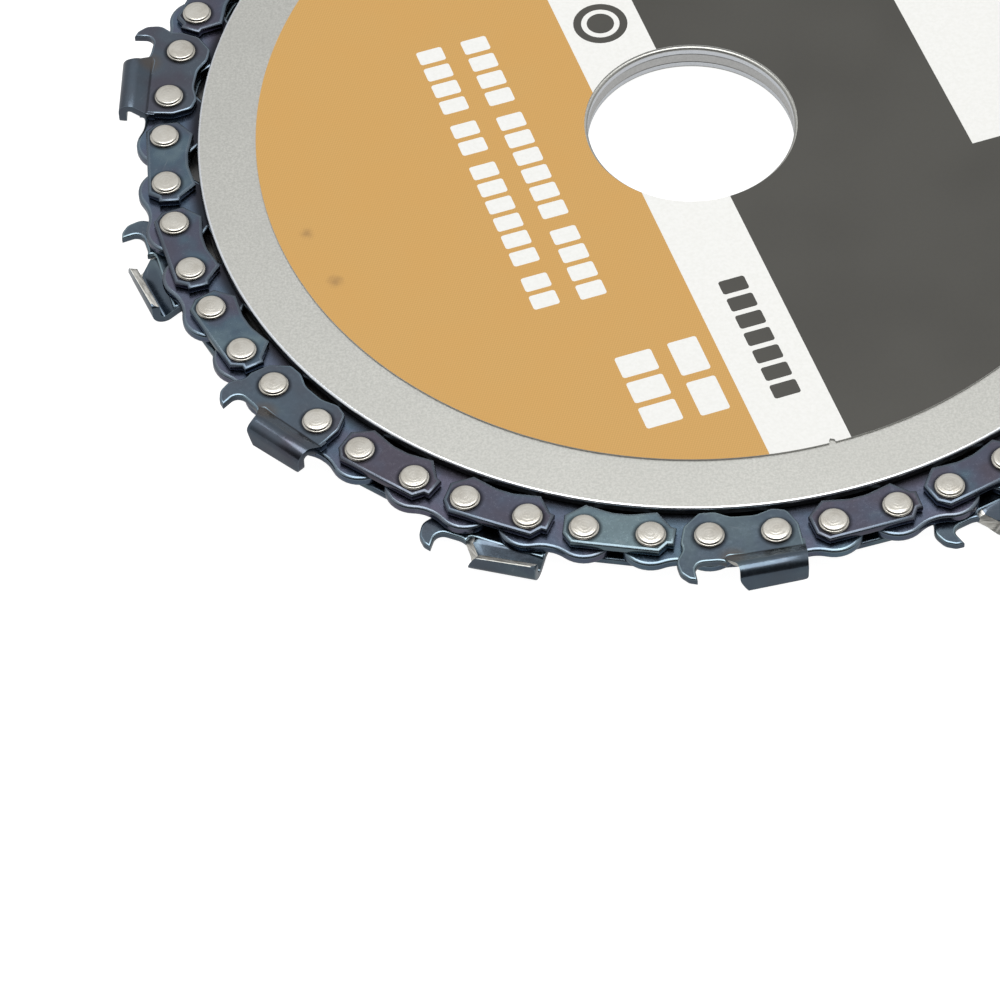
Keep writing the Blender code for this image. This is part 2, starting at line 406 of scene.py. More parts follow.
def united(shapes):
    """One bmesh from overlapping ones."""
    objects = []
    for number, shape in enumerate(shapes):
        bmesh.ops.recalc_face_normals(shape, faces=shape.faces)
        obj = bpy.data.objects.new(f"join_{number}", mesh_of(shape, "join"))
        bpy.context.scene.collection.objects.link(obj)
        for _ in (BODY, WORN, GROUND):
            obj.data.materials.append(None)
        objects.append(obj)
    base = objects[0]
    for other in objects[1:]:
        join = base.modifiers.new("Join", "BOOLEAN")
        join.operation = "UNION"
        join.solver = "EXACT"
        join.object = other
    bpy.context.view_layer.update()
    graph = bpy.context.evaluated_depsgraph_get()
    mesh = bpy.data.meshes.new_from_object(base.evaluated_get(graph))
    joined = bmesh.new()
    joined.from_mesh(mesh)
    bmesh.ops.remove_doubles(joined, verts=joined.verts, dist=0.002)
    bpy.data.meshes.remove(mesh)
    for obj in objects:
        bpy.data.objects.remove(obj, do_unlink=True)
    return joined


def break_edges(shape, width, segments, angle_deg):
    """Rounds the edges of a bmesh that turn by more than an angle."""
    bmesh.ops.recalc_face_normals(shape, faces=shape.faces)
    limit = math.radians(angle_deg)
    edges = [edge for edge in shape.edges if edge.calc_face_angle(0) > limit]
    bmesh.ops.bevel(
        shape, geom=edges, offset=width, segments=segments, profile=0.5, affect="EDGES",
        clamp_overlap=True, material=WORN,
    )


# The tooth -----------------------------------------------------------------------------------------


def tooth_section():
    """(y, z) points of the tooth's outer surface, from inside the strap over both bends to its free edge."""
    bend = arc((TOOTH_HEIGHT - BEND_RADIUS, BEND_CENTRE_Z), BEND_RADIUS, BEND_START_DEG, 0)
    side_plate = [
        (CREASE - 0.85, STRAP_LEVEL - 0.01),
        (CREASE, STRAP_LEVEL, 0.5),
        bend[0],
    ]
    top_plate = [(TOOTH_HEIGHT, z) for z in (0.75, 0.3, THINNING_FROM, -0.08, -0.18, FREE_EDGE)]
    return rounded(side_plate, closed=False)[:-1] + bend + top_plate


def sheet_at(z, y):
    """How thick the sheet is: the top plate thins towards its free edge."""
    thinned = (THINNING_FROM - z) / (THINNING_FROM - FREE_EDGE) if y > TOOTH_HEIGHT - 0.01 else 0.0
    return TOOTH_SHEET - (TOOTH_SHEET - THIN_EDGE) * max(0.0, thinned)


def inner_side(section):
    """The sheet's inner surface: the section moved to its right by the sheet's thickness."""
    moved = []
    for i, (y, z) in enumerate(section):
        into = Vector((y, z)) - Vector(section[max(i - 1, 0)])
        out = Vector(section[min(i + 1, len(section) - 1)]) - Vector((y, z))
        along = (into.normalized() + out.normalized()).normalized()
        sheet = sheet_at(z, y)
        moved.append((y + along.y * sheet, z - along.x * sheet))
    return moved


def lead_of(y, z):
    """Where the cutting edge is: on the gullet's circle along the side plate, slanting back over the top."""
    below_centre = min(y, GULLET_CENTRE[1]) - GULLET_CENTRE[1]
    lead = GULLET_CENTRE[0] - math.sqrt(max(GULLET_END, GULLET_RADIUS**2 - below_centre**2))
    if y > TOOTH_HEIGHT - 0.8:
        lead -= FACE_SLANT * (max(0.0, SLANT_TOP - z) / (SLANT_TOP - FREE_EDGE)) ** 1.5
    return lead


def heel_of(z):
    """The back end, whose corner at the free edge is rounded off."""
    into_corner = max(0.0, FREE_EDGE + HEEL_CORNER - z)
    return TOOTH_HEEL + HEEL_CORNER - math.sqrt(max(0.0, HEEL_CORNER**2 - into_corner**2))


def sunk(x, z):
    """How far the side plate lies below its full bulge: in the gullet it is still level with the strap."""
    back = min(1.0, max(0.0, (BULGE_FROM - x) / BULGE_LENGTH))
    risen = back * back * (3 - 2 * back)
    return (1 - risen) * max(0.0, z - STRAP_LEVEL)


def tooth():
    """The bent sheet behind the gullet, ground hollow at its cutting edge."""
    shape = bmesh.new()
    section = tooth_section()
    inside = inner_side(section)
    columns = []
    for share in (0.0, 0.06, 0.12, 0.18, 0.25, 0.5, 1.0):
        lower = TOOTH_RELIEF * share
        outer, inner = [], []
        for (y, z), (inner_y, inner_z) in zip(section, inside):
            lead = lead_of(y, z)
            heel = heel_of(z)
            hollow = TOP_HOLLOW if y > TOOTH_HEIGHT - 0.3 else SIDE_HOLLOW
            x = lead + (heel - lead) * share
            inner_x = lead - hollow + (heel - lead + hollow) * share
            outer.append(shape.verts.new((x, y - lower, z - sunk(x, z))))
            inner.append(shape.verts.new((inner_x, inner_y - lower, inner_z - sunk(x, z))))
        columns.append((outer, inner))
    thinned = [i for i, (y, z) in enumerate(section) if sheet_at(z, y) < TOOTH_SHEET]
    for (outer_a, inner_a), (outer_b, inner_b) in zip(columns, columns[1:]):
        for i in range(len(outer_a) - 1):
            shape.faces.new((outer_a[i], outer_a[i + 1], outer_b[i + 1], outer_b[i]))
            face = shape.faces.new((inner_a[i], inner_b[i], inner_b[i + 1], inner_a[i + 1]))
            if i + 1 in thinned:
                face.material_index = GROUND
        for end, slot in ((0, BODY), (-1, GROUND)):
            face = shape.faces.new((outer_a[end], inner_a[end], inner_b[end], outer_b[end]))
            face.material_index = slot
    for (outer, inner), slot in ((columns[0], GROUND), (columns[-1], BODY)):
        for i in range(len(outer) - 1):
            face = shape.faces.new((outer[i], outer[i + 1], inner[i + 1], inner[i]))
            face.material_index = slot
    break_edges(shape, width=0.05, segments=2, angle_deg=50)
    return shape


# Materials -----------------------------------------------------------------------------------------


def node(tree, kind, settings=None, **inputs):
    """Adds a shader node. An input, by its name or as i and its number, is a value or a socket."""
    made = tree.nodes.new(kind)
    for name, value in (settings or {}).items():
        setattr(made, name, value)
    for name, value in inputs.items():
        socket = made.inputs[int(name[1:]) if name[1:].isdigit() else name]
        if isinstance(value, bpy.types.NodeSocket):
            tree.links.new(value, socket)
        else:
            socket.default_value = value
    return made


def new_material(name):
    material = bpy.data.materials.new(name)
    material.use_nodes = True
    return material, material.node_tree, material.node_tree.nodes["Principled BSDF"]


def object_place(tree):
    return node(tree, "ShaderNodeTexCoord").outputs["Object"]


def axes_of(tree, vector):
    return node(tree, "ShaderNodeSeparateXYZ", Vector=vector).outputs


def vector_node(tree, operation, a, b=(0, 0, 0)):
    made = node(tree, "ShaderNodeVectorMath", {"operation": operation}, i0=a, i1=b)
    return made.outputs["Value" if operation in ("LENGTH", "DISTANCE") else "Vector"]


def math_node(tree, operation, a, b=0.0):
    return node(tree, "ShaderNodeMath", {"operation": operation}, i0=a, i1=b).outputs[0]


def times_plus(tree, value, factor, added):
    """value * factor + added."""
    return math_node(tree, "ADD", math_node(tree, "MULTIPLY", value, factor), added)


def mapped(tree, value, low, high, to_low, to_high):
    """The range from low to high mapped smoothly to another one, and held at both ends."""
    return node(
        tree, "ShaderNodeMapRange", {"interpolation_type": "SMOOTHSTEP"},
        i0=value, i1=low, i2=high, i3=to_low, i4=to_high,
    ).outputs[0]


def noise(tree, place, scale, detail=2.0, roughness=0.5):
    return node(
        tree, "ShaderNodeTexNoise", Vector=place, Scale=scale, Detail=detail, Roughness=roughness
    ).outputs["Fac"]


def stretched(tree, place, turn_deg, scale):
    """Coordinates turned about Z, then scaled along each axis."""
    turn = math.radians(turn_deg)
    made = node(tree, "ShaderNodeVectorRotate", {"rotation_type": "Z_AXIS"}, Vector=place, Angle=turn)
    return vector_node(tree, "MULTIPLY", made.outputs[0], scale)


def opaque(colour):
    return colour if isinstance(colour, bpy.types.NodeSocket) else (*colour, 1.0)


def mixed(tree, share, a, b):
    """A mix of two colours, from all a at 0 to all b at 1."""
    made = node(tree, "ShaderNodeMix", {"data_type": "RGBA"}, i0=share, i6=opaque(a), i7=opaque(b))
    return made.outputs[2]


def ramp(tree, value, stops):
    made = node(tree, "ShaderNodeValToRGB", Fac=value)
    elements = made.color_ramp.elements
    while len(elements) < len(stops):
        elements.new(0.5)
    for element, (position, colour) in zip(elements, stops):
        element.position = position
        element.color = opaque(colour)
    return made.outputs["Color"]


def by_ray(tree, other, camera):
    """One value for the camera's own rays and another for all other light."""
    seen = node(tree, "ShaderNodeLightPath").outputs["Is Camera Ray"]
    return node(tree, "ShaderNodeMix", {"data_type": "FLOAT"}, i0=seen, i2=other, i3=camera).outputs[0]


def metal(tree, shader, colour, roughness):
    """Makes the shader a bare metal with a varying colour and roughness."""
    shader.inputs["Metallic"].default_value = 1.0
    tree.links.new(colour, shader.inputs["Base Color"])
    tree.links.new(roughness, shader.inputs["Roughness"])


def bump(tree, shader, *reliefs):
    """Relief from (0 to 1 value, depth in metres) pairs."""
    total = 0.0
    for value, depth in reliefs:
        total = times_plus(tree, value, depth, total)
    made = node(tree, "ShaderNodeBump", Height=total, Distance=1.0)
    tree.links.new(made.outputs["Normal"], shader.inputs["Normal"])


def plate_steel(name, light, dark, roughness):
    """Satin steel: a fine even grain, slightly clouded, with a few short marks."""
    material, tree, shader = new_material(name)
    place = object_place(tree)
    grain = noise(tree, place, 5200, 3, 0.65)
    coarse = noise(tree, place, 3300, 2, 0.5)
    clouds = noise(tree, place, 110, 2, 0.5)
    marks = noise(tree, stretched(tree, place, 35, (260, 5200, 260)), 1.0, 2, 0.6)
    speckle = times_plus(tree, grain, 0.6, math_node(tree, "MULTIPLY", coarse, 0.4))
    colour = mixed(tree, mapped(tree, speckle, 0.36, 0.64, 0.0, 1.0), dark, light)
    colour = mixed(tree, mapped(tree, clouds, 0.3, 0.7, 0.0, 0.2), colour, dark)
    colour = mixed(tree, mapped(tree, marks, 0.66, 0.8, 0.0, 0.2), colour, light)
    metal(tree, shader, colour, mapped(tree, grain, 0.3, 0.7, roughness - 0.03, roughness + 0.04))
    bump(tree, shader, (grain, 0.0000018), (coarse, 0.0000012))
    return material


def rivet_shadow_ring(tree):
    """A mark: painted shadow, the dark ring round each rivet of an outer link."""
    axes = axes_of(tree, object_place(tree))
    across = math_node(tree, "SUBTRACT", math_node(tree, "ABSOLUTE", axes["X"]), STRAP_PITCH / 2 * MM)
    from_pivot = node(tree, "ShaderNodeCombineXYZ", X=across, Y=axes["Y"]).outputs[0]
    away = vector_node(tree, "LENGTH", from_pivot)
    share = mapped(tree, away, COLLAR_RADIUS * MM, (COLLAR_RADIUS + RIVET_SHADOW_WIDTH) * MM, 0.8, 0.0)
    return share, (0.010, 0.010, 0.012)


def crease_shade(tree):
    """A mark: painted shade, a dark line along the tooth's first bend, as far forward as the gullet."""
    slope = TOOTH_RELIEF / (CREASE_FRONT - TOOTH_HEEL)
    axes = axes_of(tree, object_place(tree))
    line = times_plus(tree, axes["X"], slope, (CREASE - slope * CREASE_FRONT) * MM)
    off_line = math_node(tree, "ABSOLUTE", math_node(tree, "SUBTRACT", axes["Y"], line))
    near = mapped(tree, off_line, 0.04 * MM, 0.2 * MM, 0.6, 0.0)
    behind = mapped(tree, axes["X"], CREASE_FRONT * MM, (CREASE_FRONT - 0.6) * MM, 0.0, 1.0)
    return math_node(tree, "MULTIPLY", near, behind), (0.012, 0.012, 0.014)


def burn(tree):
    """A mark: the brown stain that grinding leaves behind the gullet."""
    centre = Vector((*BURN_CENTRE, STEEL_TOP)) * MM
    away = vector_node(tree, "DISTANCE", object_place(tree), centre)
    return mapped(tree, away, 0.5 * MM, 1.9 * MM, 0.7, 0.0), (0.115, 0.098, 0.085)


def drive_link_shade(tree):
    """A mark: painted shade on a drive link, darker where it goes down into the slot between the plates."""
    outwards = axes_of(tree, object_place(tree))["Y"]
    share = mapped(tree, outwards, (DRIVE_SHADE_EDGE - DRIVE_SHADE_FADE) * MM, DRIVE_SHADE_EDGE * MM, 0.85, 0.0)
    return share, (0.012, 0.010, 0.010)


def piece_values(tree):
    """What add_piece gave the object: its tint and a number that sets its pattern apart."""
    info = node(tree, "ShaderNodeObjectInfo")
    parts = node(tree, "ShaderNodeSeparateColor", Color=info.outputs["Color"]).outputs
    return parts["Red"], parts["Green"]


def blued_steel(name, tints, lift, roughness, marks=()):
    """Heat-blued steel: each piece has its own tint, which drifts over its slightly wavy face.

    tints are the stops of its colours, lift is the colour of its specks and scuffs, and marks are
    functions that return how much of a colour lies where, and the colour.
    """
    material, tree, shader = new_material(name)
    own_tint, own_shift = piece_values(tree)
    place = vector_node(tree, "ADD", object_place(tree), own_shift)
    drift = noise(tree, place, 230, 2, 0.5)
    waves = noise(tree, place, 210, 1, 0.4)
    specks = noise(tree, place, 2600, 3, 0.65)
    scuffs = noise(tree, stretched(tree, place, 20, (250, 3000, 700)), 1.0, 3, 0.65)
    tint = times_plus(tree, math_node(tree, "SUBTRACT", drift, 0.5), 1.7, own_tint)
    colour = ramp(tree, tint, tints)
    colour = mixed(tree, mapped(tree, specks, 0.58, 0.85, 0.0, 0.22), colour, lift)
    colour = mixed(tree, mapped(tree, scuffs, 0.62, 0.8, 0.0, 0.3), colour, lift)
    for mark in marks:
        share, mark_colour = mark(tree)
        colour = mixed(tree, share, colour, mark_colour)
    metal(tree, shader, colour, mapped(tree, specks, 0.3, 0.7, roughness - 0.03, roughness + 0.06))
    bump(tree, shader, (waves, 0.00013), (specks, 0.0000015))
    return material


def ground_steel():
    """The bright hollow-ground face of a cutting edge, with its grinding lines."""
    material, tree, shader = new_material("ground_edge_steel")
    lines = noise(tree, stretched(tree, object_place(tree), 0, (900, 900, 9000)), 1.0, 2, 0.6)
    colour = ramp(tree, lines, [(0.35, (0.52, 0.51, 0.47)), (0.65, (0.86, 0.85, 0.80))])
    tree.links.new(colour, shader.inputs["Base Color"])
    shader.inputs["Metallic"].default_value = 1.0
    shader.inputs["Roughness"].default_value = 0.42
    bump(tree, shader, (lines, 0.00002))
    return material


def rivet_nickel():
    """Warm plated rivets. The staking tool leaves faint rings on each head."""
    material, tree, shader = new_material("rivet_nickel")
    place = object_place(tree)
    _, own_shift = piece_values(tree)
    moved = vector_node(tree, "ADD", place, own_shift)
    radius = vector_node(tree, "LENGTH", vector_node(tree, "MULTIPLY", place, (1, 1, 0)))
    wobble = noise(tree, moved, 900, 2, 0.5)
    stains = noise(tree, moved, 500, 3, 0.6)
    phase = times_plus(tree, radius, 16000, math_node(tree, "MULTIPLY", wobble, 9))
    rings = math_node(tree, "SINE", phase)
    tones = [(0.3, (0.47, 0.445, 0.395)), (0.52, (0.57, 0.55, 0.50)), (0.8, (0.63, 0.615, 0.57))]
    metal(tree, shader, ramp(tree, stains, tones), mapped(tree, wobble, 0.3, 0.7, 0.17, 0.24))
    bump(tree, shader, (rings, 0.0000022), (stains, 0.000007))
    return material


def paper_fibres(tree):
    return noise(tree, object_place(tree), 2500, 3, 0.6)


def printed_paper(name, print_colour):
    """Paper with a thin varnish. print_colour is a function of the tree that returns the colour."""
    material, tree, shader = new_material(name)
    fibres = paper_fibres(tree)
    shader.inputs["Specular IOR Level"].default_value = 0.35
    tree.links.new(mapped(tree, fibres, 0.3, 0.7, 0.42, 0.52), shader.inputs["Roughness"])
    tree.links.new(print_colour(tree), shader.inputs["Base Color"])
    bump(tree, shader, (fibres, 0.000002))
    return material


def tan_print(tree):
    """The tan half: a printed screen of fine diagonal dots, and two brown smudges."""
    place = object_place(tree)
    waves = []
    for turn_deg in (62, -28):
        along = stretched(tree, place, turn_deg, (2 * math.pi / (SCREEN_PITCH * MM), 0, 0))
        waves.append(math_node(tree, "SINE", axes_of(tree, along)["X"]))
    screen = mapped(tree, math_node(tree, "MULTIPLY", *waves), -0.6, 0.9, 0.0, 1.0)
    colour = mixed(tree, screen, (0.555, 0.312, 0.084), (0.635, 0.370, 0.110))
    clouds = noise(tree, place, 140, 3, 0.55)
    colour = mixed(tree, mapped(tree, clouds, 0.3, 0.75, 0.0, 0.3), colour, (0.61, 0.325, 0.08))
    wobble = math_node(tree, "MULTIPLY", noise(tree, place, 900, 3, 0.6), SMUDGE_RADIUS * 1.3 * MM)
    for x, y in SMUDGES:
        away = vector_node(tree, "DISTANCE", place, Vector((x, y, LABEL_TOP)) * MM)
        ragged = math_node(tree, "ADD", away, wobble)
        smudge = mapped(tree, ragged, SMUDGE_RADIUS * 0.6 * MM, SMUDGE_RADIUS * 1.7 * MM, 0.5, 0.0)
        colour = mixed(tree, smudge, colour, (0.22, 0.12, 0.05))
    return colour


def white_print(tree):
    fibres = mapped(tree, paper_fibres(tree), 0.3, 0.7, 0.0, 1.0)
    return mixed(tree, fibres, (0.815, 0.815, 0.785), (0.855, 0.855, 0.83))


def dark_print(tree):
    """The charcoal half and the dark print, with a few pale specks where the varnish is scuffed."""
    place = object_place(tree)
    clouds = mapped(tree, noise(tree, place, 60, 2, 0.5), 0.3, 0.7, 0.0, 1.0)
    colour = mixed(tree, clouds, (0.053, 0.051, 0.044), (0.063, 0.061, 0.053))
    cells = node(tree, "ShaderNodeTexVoronoi", Vector=place, Scale=260.0).outputs
    own_number = node(tree, "ShaderNodeSeparateColor", Color=cells["Color"]).outputs["Red"]
    chosen = mapped(tree, own_number, 0.8, 0.82, 0.0, 1.0)
    speck = mapped(tree, cells["Distance"], 0.03, 0.06, 0.4, 0.0)
    return mixed(tree, math_node(tree, "MULTIPLY", speck, chosen), colour, (0.4, 0.4, 0.37))


MATERIALS = {
    "plate": plate_steel("plate_steel", (0.52, 0.52, 0.49), (0.42, 0.42, 0.395), 0.36),
    "plate_edge": plate_steel("plate_edge_steel", (0.80, 0.83, 0.87), (0.72, 0.75, 0.79), 0.22),
    # The plate's outer wall: the plate steel painted dark, a painted reflection of the shaded gap between
    # plate and chain.
    "rim": plate_steel("rim_wall_painted_shade", (0.16, 0.16, 0.16), (0.11, 0.11, 0.11), 0.45),
    # The plate's inner face, towards the other plate: the plate steel painted dark, as painted shade in the
    # slot between the plates.
    "slot": plate_steel("slot_face_painted_shade", (0.10, 0.10, 0.10), (0.05, 0.05, 0.05), 0.5),
    "spacer": plate_steel("spacer_steel", (0.66, 0.66, 0.65), (0.56, 0.56, 0.55), 0.4),
    "strap": blued_steel(
        "strap_steel",
        [(0.0, (0.092, 0.086, 0.112)), (0.35, (0.090, 0.098, 0.136)), (0.6, (0.088, 0.128, 0.168)),
         (1.0, (0.157, 0.216, 0.240))],
        (0.30, 0.32, 0.34), 0.22, [rivet_shadow_ring],
    ),
    "cutter": blued_steel(
        "cutter_steel",
        [(0.0, (0.084, 0.080, 0.102)), (0.4, (0.088, 0.106, 0.132)), (0.75, (0.090, 0.118, 0.150)),
         (1.0, (0.108, 0.144, 0.170))],
        (0.28, 0.31, 0.34), 0.21, [rivet_shadow_ring, crease_shade, burn],
    ),
    "drive": blued_steel(
        "drive_link_steel",
        [(0.0, (0.116, 0.114, 0.160)), (0.5, (0.098, 0.134, 0.190)), (1.0, (0.120, 0.188, 0.236))],
        (0.30, 0.34, 0.40), 0.24, [drive_link_shade],
    ),
    "worn": blued_steel(
        "worn_edge_steel",
        [(0.0, (0.142, 0.165, 0.198)), (0.5, (0.160, 0.212, 0.262)), (1.0, (0.21, 0.28, 0.31))],
        (0.42, 0.46, 0.50), 0.22,
    ),
    "strap_edge": blued_steel(
        "strap_edge_steel",
        [(0.0, (0.100, 0.112, 0.138)), (0.5, (0.112, 0.145, 0.183)), (1.0, (0.16, 0.21, 0.235))],
        (0.34, 0.38, 0.42), 0.25,
    ),
    "ground": ground_steel(),
    "rivet": rivet_nickel(),
    "label_tan": printed_paper("label_tan", tan_print),
    "label_white": printed_paper("label_white", white_print),
    "label_dark": printed_paper("label_charcoal", dark_print),
}


# Pieces --------------------------------------------------------------------------------------------

SHIFTS = random.Random(3)
# How blue each station's straps came out of the heat, from 0, purple, over 0.5, blue, to 1, teal.
TINTS = (0.25, 0.5, 0.4, 0.0, 0.3, 0.95, 0.75, 0.2, 0.35, 0.6, 0.15, 0.4, 0.3, 0.5)


def add_piece(name, mesh, body, nodes, place=None, tint=0.5):
    """Puts a piece in the scene, on its body, in place of the frame's own nodes.

    tint is how blue its steel is. A random number sets its pattern apart from the others.
    """
    obj = bpy.data.objects.new(name, mesh)
    bpy.context.scene.collection.objects.link(obj)
    obj.color = (tint, SHIFTS.random(), 0, 1)
    if place is not None:
        obj.matrix_world = place
    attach(obj, body)
    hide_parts(*nodes)


def rounded_corner(radius, height, rounding, outwards, steps=4):
    """Profile points from a top face round to the wall of a rim, or, with outwards -1, of a bore."""
    points = []
    for i in range(steps + 1):
        angle = math.pi / 2 * i / steps
        points.append((
            radius - outwards * rounding * (1 - math.sin(angle)),
            height - rounding * (1 - math.cos(angle)),
        ))
    return points


def plate_mesh(name):
    """The upper plate: rounded at the bore and the rim, with a fine break on its inner edges."""
    bore = [(BORE_RADIUS, STEEL_INNER + SEAM_ROUNDING)]
    bore += reversed(rounded_corner(BORE_RADIUS, STEEL_TOP, BORE_ROUNDING, -1))
    rim = rounded_corner(PLATE_RADIUS, STEEL_TOP, RIM_ROUNDING, 1)
    inner_rim = [(PLATE_RADIUS, STEEL_INNER + SEAM_ROUNDING), (PLATE_RADIUS - SEAM_ROUNDING, STEEL_INNER)]
    profile = bore + rim + inner_rim + [(BORE_RADIUS + SEAM_ROUNDING, STEEL_INNER)]
    bore_wall, slot_face = 0, len(profile) - 2
    rim_rounding = range(len(bore), len(bore) + len(rim) - 1)
    # The slot face and the rim wall take dark copies of the plate steel, as painted shade.
    slots = {bore_wall: EDGE, slot_face: SLOT_SHADE, rim_rounding.stop: RIM_SHADE}
    slots.update((row, EDGE) for row in rim_rounding)
    return new_mesh(name, turned(profile, DISC_STEPS, slots), ["plate", "plate_edge", "slot", "rim"])


def flipped(mesh, name):
    """The mesh mirrored through the middle plane of the chain."""
    copy = mesh.copy()
    copy.name = name
    copy.transform(Matrix.Diagonal((1, 1, -1, 1)))
    copy.flip_normals()
    return copy


def add_discs():
    """Both plates, and the spacer ring between them."""
    upper = plate_mesh("upper_plate_steel")
    lower = flipped(upper, "lower_plate_steel")
    add_piece("upper_plate_steel", upper, "upper_plate", ["upper_plate"])
    add_piece("lower_plate_steel", lower, "lower_plate", ["lower_plate"])
    edge = SEAM_ROUNDING
    profile = [
        (BORE_RADIUS, -SPACER_HALF + edge),
        (BORE_RADIUS, SPACER_HALF - edge),
        (BORE_RADIUS + edge, SPACER_HALF),
        (SPACER_RADIUS - edge, SPACER_HALF),
        (SPACER_RADIUS, SPACER_HALF - edge),
        (SPACER_RADIUS, -SPACER_HALF + edge),
        (SPACER_RADIUS - edge, -SPACER_HALF),
        (BORE_RADIUS + edge, -SPACER_HALF),
    ]
    spacer = new_mesh("spacer_steel", turned(profile, DISC_STEPS), ["spacer"])
    add_piece("spacer_ring_steel", spacer, "lower_plate", ["spacer_ring"])


# The label's artwork: n runs across the white band, towards the charcoal half, and t along it,
# towards the lower end of the band.
BAND_ANGLE = math.radians(16.966)
ACROSS = Vector((math.cos(BAND_ANGLE), math.sin(BAND_ANGLE)))
ALONG = Vector((math.sin(BAND_ANGLE), -math.cos(BAND_ANGLE)))
BAND = (-8.43, 0.2)
PANEL_NEAR, PANEL_FAR, PANEL_HALF = 27.1, 42.5, 13.4
# A small tear at the label's edge, at the lower end of the band.
TEAR = [(-2.3, 47.4), (-1.45, 47.4), (-1.5, 46.45), (-1.9, 46.2), (-2.15, 46.5)]
EMBLEM = (-4.2, -17.2)


def on_label(n, t):
    return ACROSS * n + ALONG * t


def patch(n_low, n_high, t_low, t_high, rounding=0.0):
    """A rectangle of the artwork, as points on the disc."""
    corners = [(n_low, t_low), (n_high, t_low), (n_high, t_high), (n_low, t_high)]
    if rounding:
        corners = rounded([(*corner, rounding) for corner in corners])
    return [on_label(n, t) for n, t in reversed(corners)]


def disc_patch(n, t, radius):
    return [on_label(x, y) for x, y in arc((n, t), radius, 360, 0, 10)[:-1]]


def word_bars(n, height, t_start, t_end, words, gap=1.8, letter_gap=0.62):
    """A line of text as plain blocks, grouped into words. The model carries no lettering."""
    letters = sum(words)
    room = t_end - t_start - gap * (len(words) - 1) - letter_gap * (letters - len(words))
    width = room / letters
    patches = []
    t = t_start
    for word in words:
        for _ in range(word):
            patches.append(patch(n - height / 2, n + height / 2, t, t + width, 0.3))
            t += width + letter_gap
        t += gap - letter_gap
    return patches


def label_layers():
    """(outline, print) pairs, each printed over those before it."""
    far = LABEL_RADIUS + 2
    layers = [
        (patch(BAND[0], BAND[1], -far, far), WHITE),
        (patch(BAND[1], far, -far, far), DARK),
        (patch(PANEL_NEAR, PANEL_FAR, -PANEL_HALF, PANEL_HALF), WHITE),
    ]
    for radius, ink in ((2.97, DARK), (2.1, WHITE), (1.5, DARK)):
        layers.append((disc_patch(*EMBLEM, radius), ink))
    white_lines = (
        word_bars(-23.1, 2.9, -20.0, 19.4, (4, 2, 6, 2))
        + word_bars(-18.05, 2.9, -19.9, 19.8, (4, 6, 4))
        + word_bars(-17.0, 4.0, 28.5, 38.6, (3,), 1.7, 0.7)
        + word_bars(-11.6, 3.2, 28.5, 38.9, (2,), 1.7, 1.0)
    )
    layers += [(bar, WHITE) for bar in white_lines]
    layers += [(bar, DARK) for bar in word_bars(-3.85, 2.9, 22.4, 39.4, (7,))]
    return layers


def label_mesh():
    """The label: one flat sheet split into its printed areas, with a thickness."""
    step = 360 / DISC_STEPS
    rim, opening = [
        [Vector(point) for point in arc((0, 0), radius, 0, 360, step)[:-1]]
        for radius in (LABEL_RADIUS, LABEL_HOLE_RADIUS)
    ]
    tear = [on_label(n, t) for n, t in TEAR]
    areas = [(rim, TAN), (opening, TAN), (tear, TAN), *label_layers()]
    opening_number, tear_number = 1, 2
    points, faces = [], []
    for outline, _ in areas:
        faces.append(list(range(len(points), len(points) + len(outline))))
        points.extend(outline)
    corners, _, triangles, _, _, sources = delaunay_2d_cdt(points, [], faces, 1, 0.00001)
    shape = bmesh.new()
    tops = [shape.verts.new((corner.x, corner.y, LABEL_TOP)) for corner in corners]
    bottoms = [shape.verts.new((corner.x, corner.y, STEEL_TOP + LABEL_LIFT)) for corner in corners]
    edges = set()
    for triangle, inside in zip(triangles, sources):
        if 0 not in inside or opening_number in inside or tear_number in inside:
            continue
        _, ink = areas[max(inside)]
        shape.faces.new([tops[k] for k in triangle]).material_index = ink
        shape.faces.new([bottoms[k] for k in reversed(triangle)]).material_index = ink
        for start, end in zip(triangle, [*triangle[1:], triangle[0]]):
            if (end, start) in edges:
                edges.remove((end, start))
            else:
                edges.add((start, end))
    for start, end in sorted(edges):
        wall = shape.faces.new((tops[end], tops[start], bottoms[start], bottoms[end]))
        wall.material_index = WHITE
    loose = [vert for vert in shape.verts if not vert.link_faces]
    bmesh.ops.delete(shape, geom=loose, context="VERTS")
    return new_mesh("label", shape, ["label_tan", "label_white", "label_dark"])


def rivet_mesh():
    """A staked rivet: on each side a rounded collar, a groove and a slightly domed head."""
    dome_radius, dome_drop, edge_drop = 1.19, 0.045, 0.13
    groove = STEEL_TOP + 0.285
    upper = [(0, HEAD_TOP)]
    for i in range(1, 6):
        radius = dome_radius * i / 5
        upper.append((radius, HEAD_TOP - dome_drop * (radius / dome_radius) ** 2))
    for i in range(1, 6):
        angle = math.pi / 2 * i / 5
        upper.append((
            dome_radius + (HEAD_RADIUS - dome_radius) * math.sin(angle),
            HEAD_TOP - dome_drop - edge_drop * (1 - math.cos(angle)),
        ))
    upper += [(HEAD_RADIUS - 0.02, groove + 0.03), (HEAD_RADIUS - 0.07, groove)]
    collar = [(0.24, 0.25), (0.155, 0.24), (0.085, 0.21), (0.035, 0.165), (0.008, 0.10), (0.0, 0.01)]
    upper += [(COLLAR_RADIUS - inwards, STEEL_TOP + height) for inwards, height in collar]
    upper.append((SHAFT_RADIUS, STEEL_TOP + 0.01))
    profile = upper + [(radius, -height) for radius, height in reversed(upper)]
    return new_mesh("rivet", turned(profile, RIVET_STEPS), ["rivet"])


def strap_mesh():
    outlines = [strap_outline(), *pivot_holes(STRAP_PITCH, HOLE_RADIUS)]
    shape = flat_solid(outlines, STEEL_INNER, STEEL_TOP, STRAP_ROLL)
    return new_mesh("tie_strap", shape, ["strap", "strap_edge"])


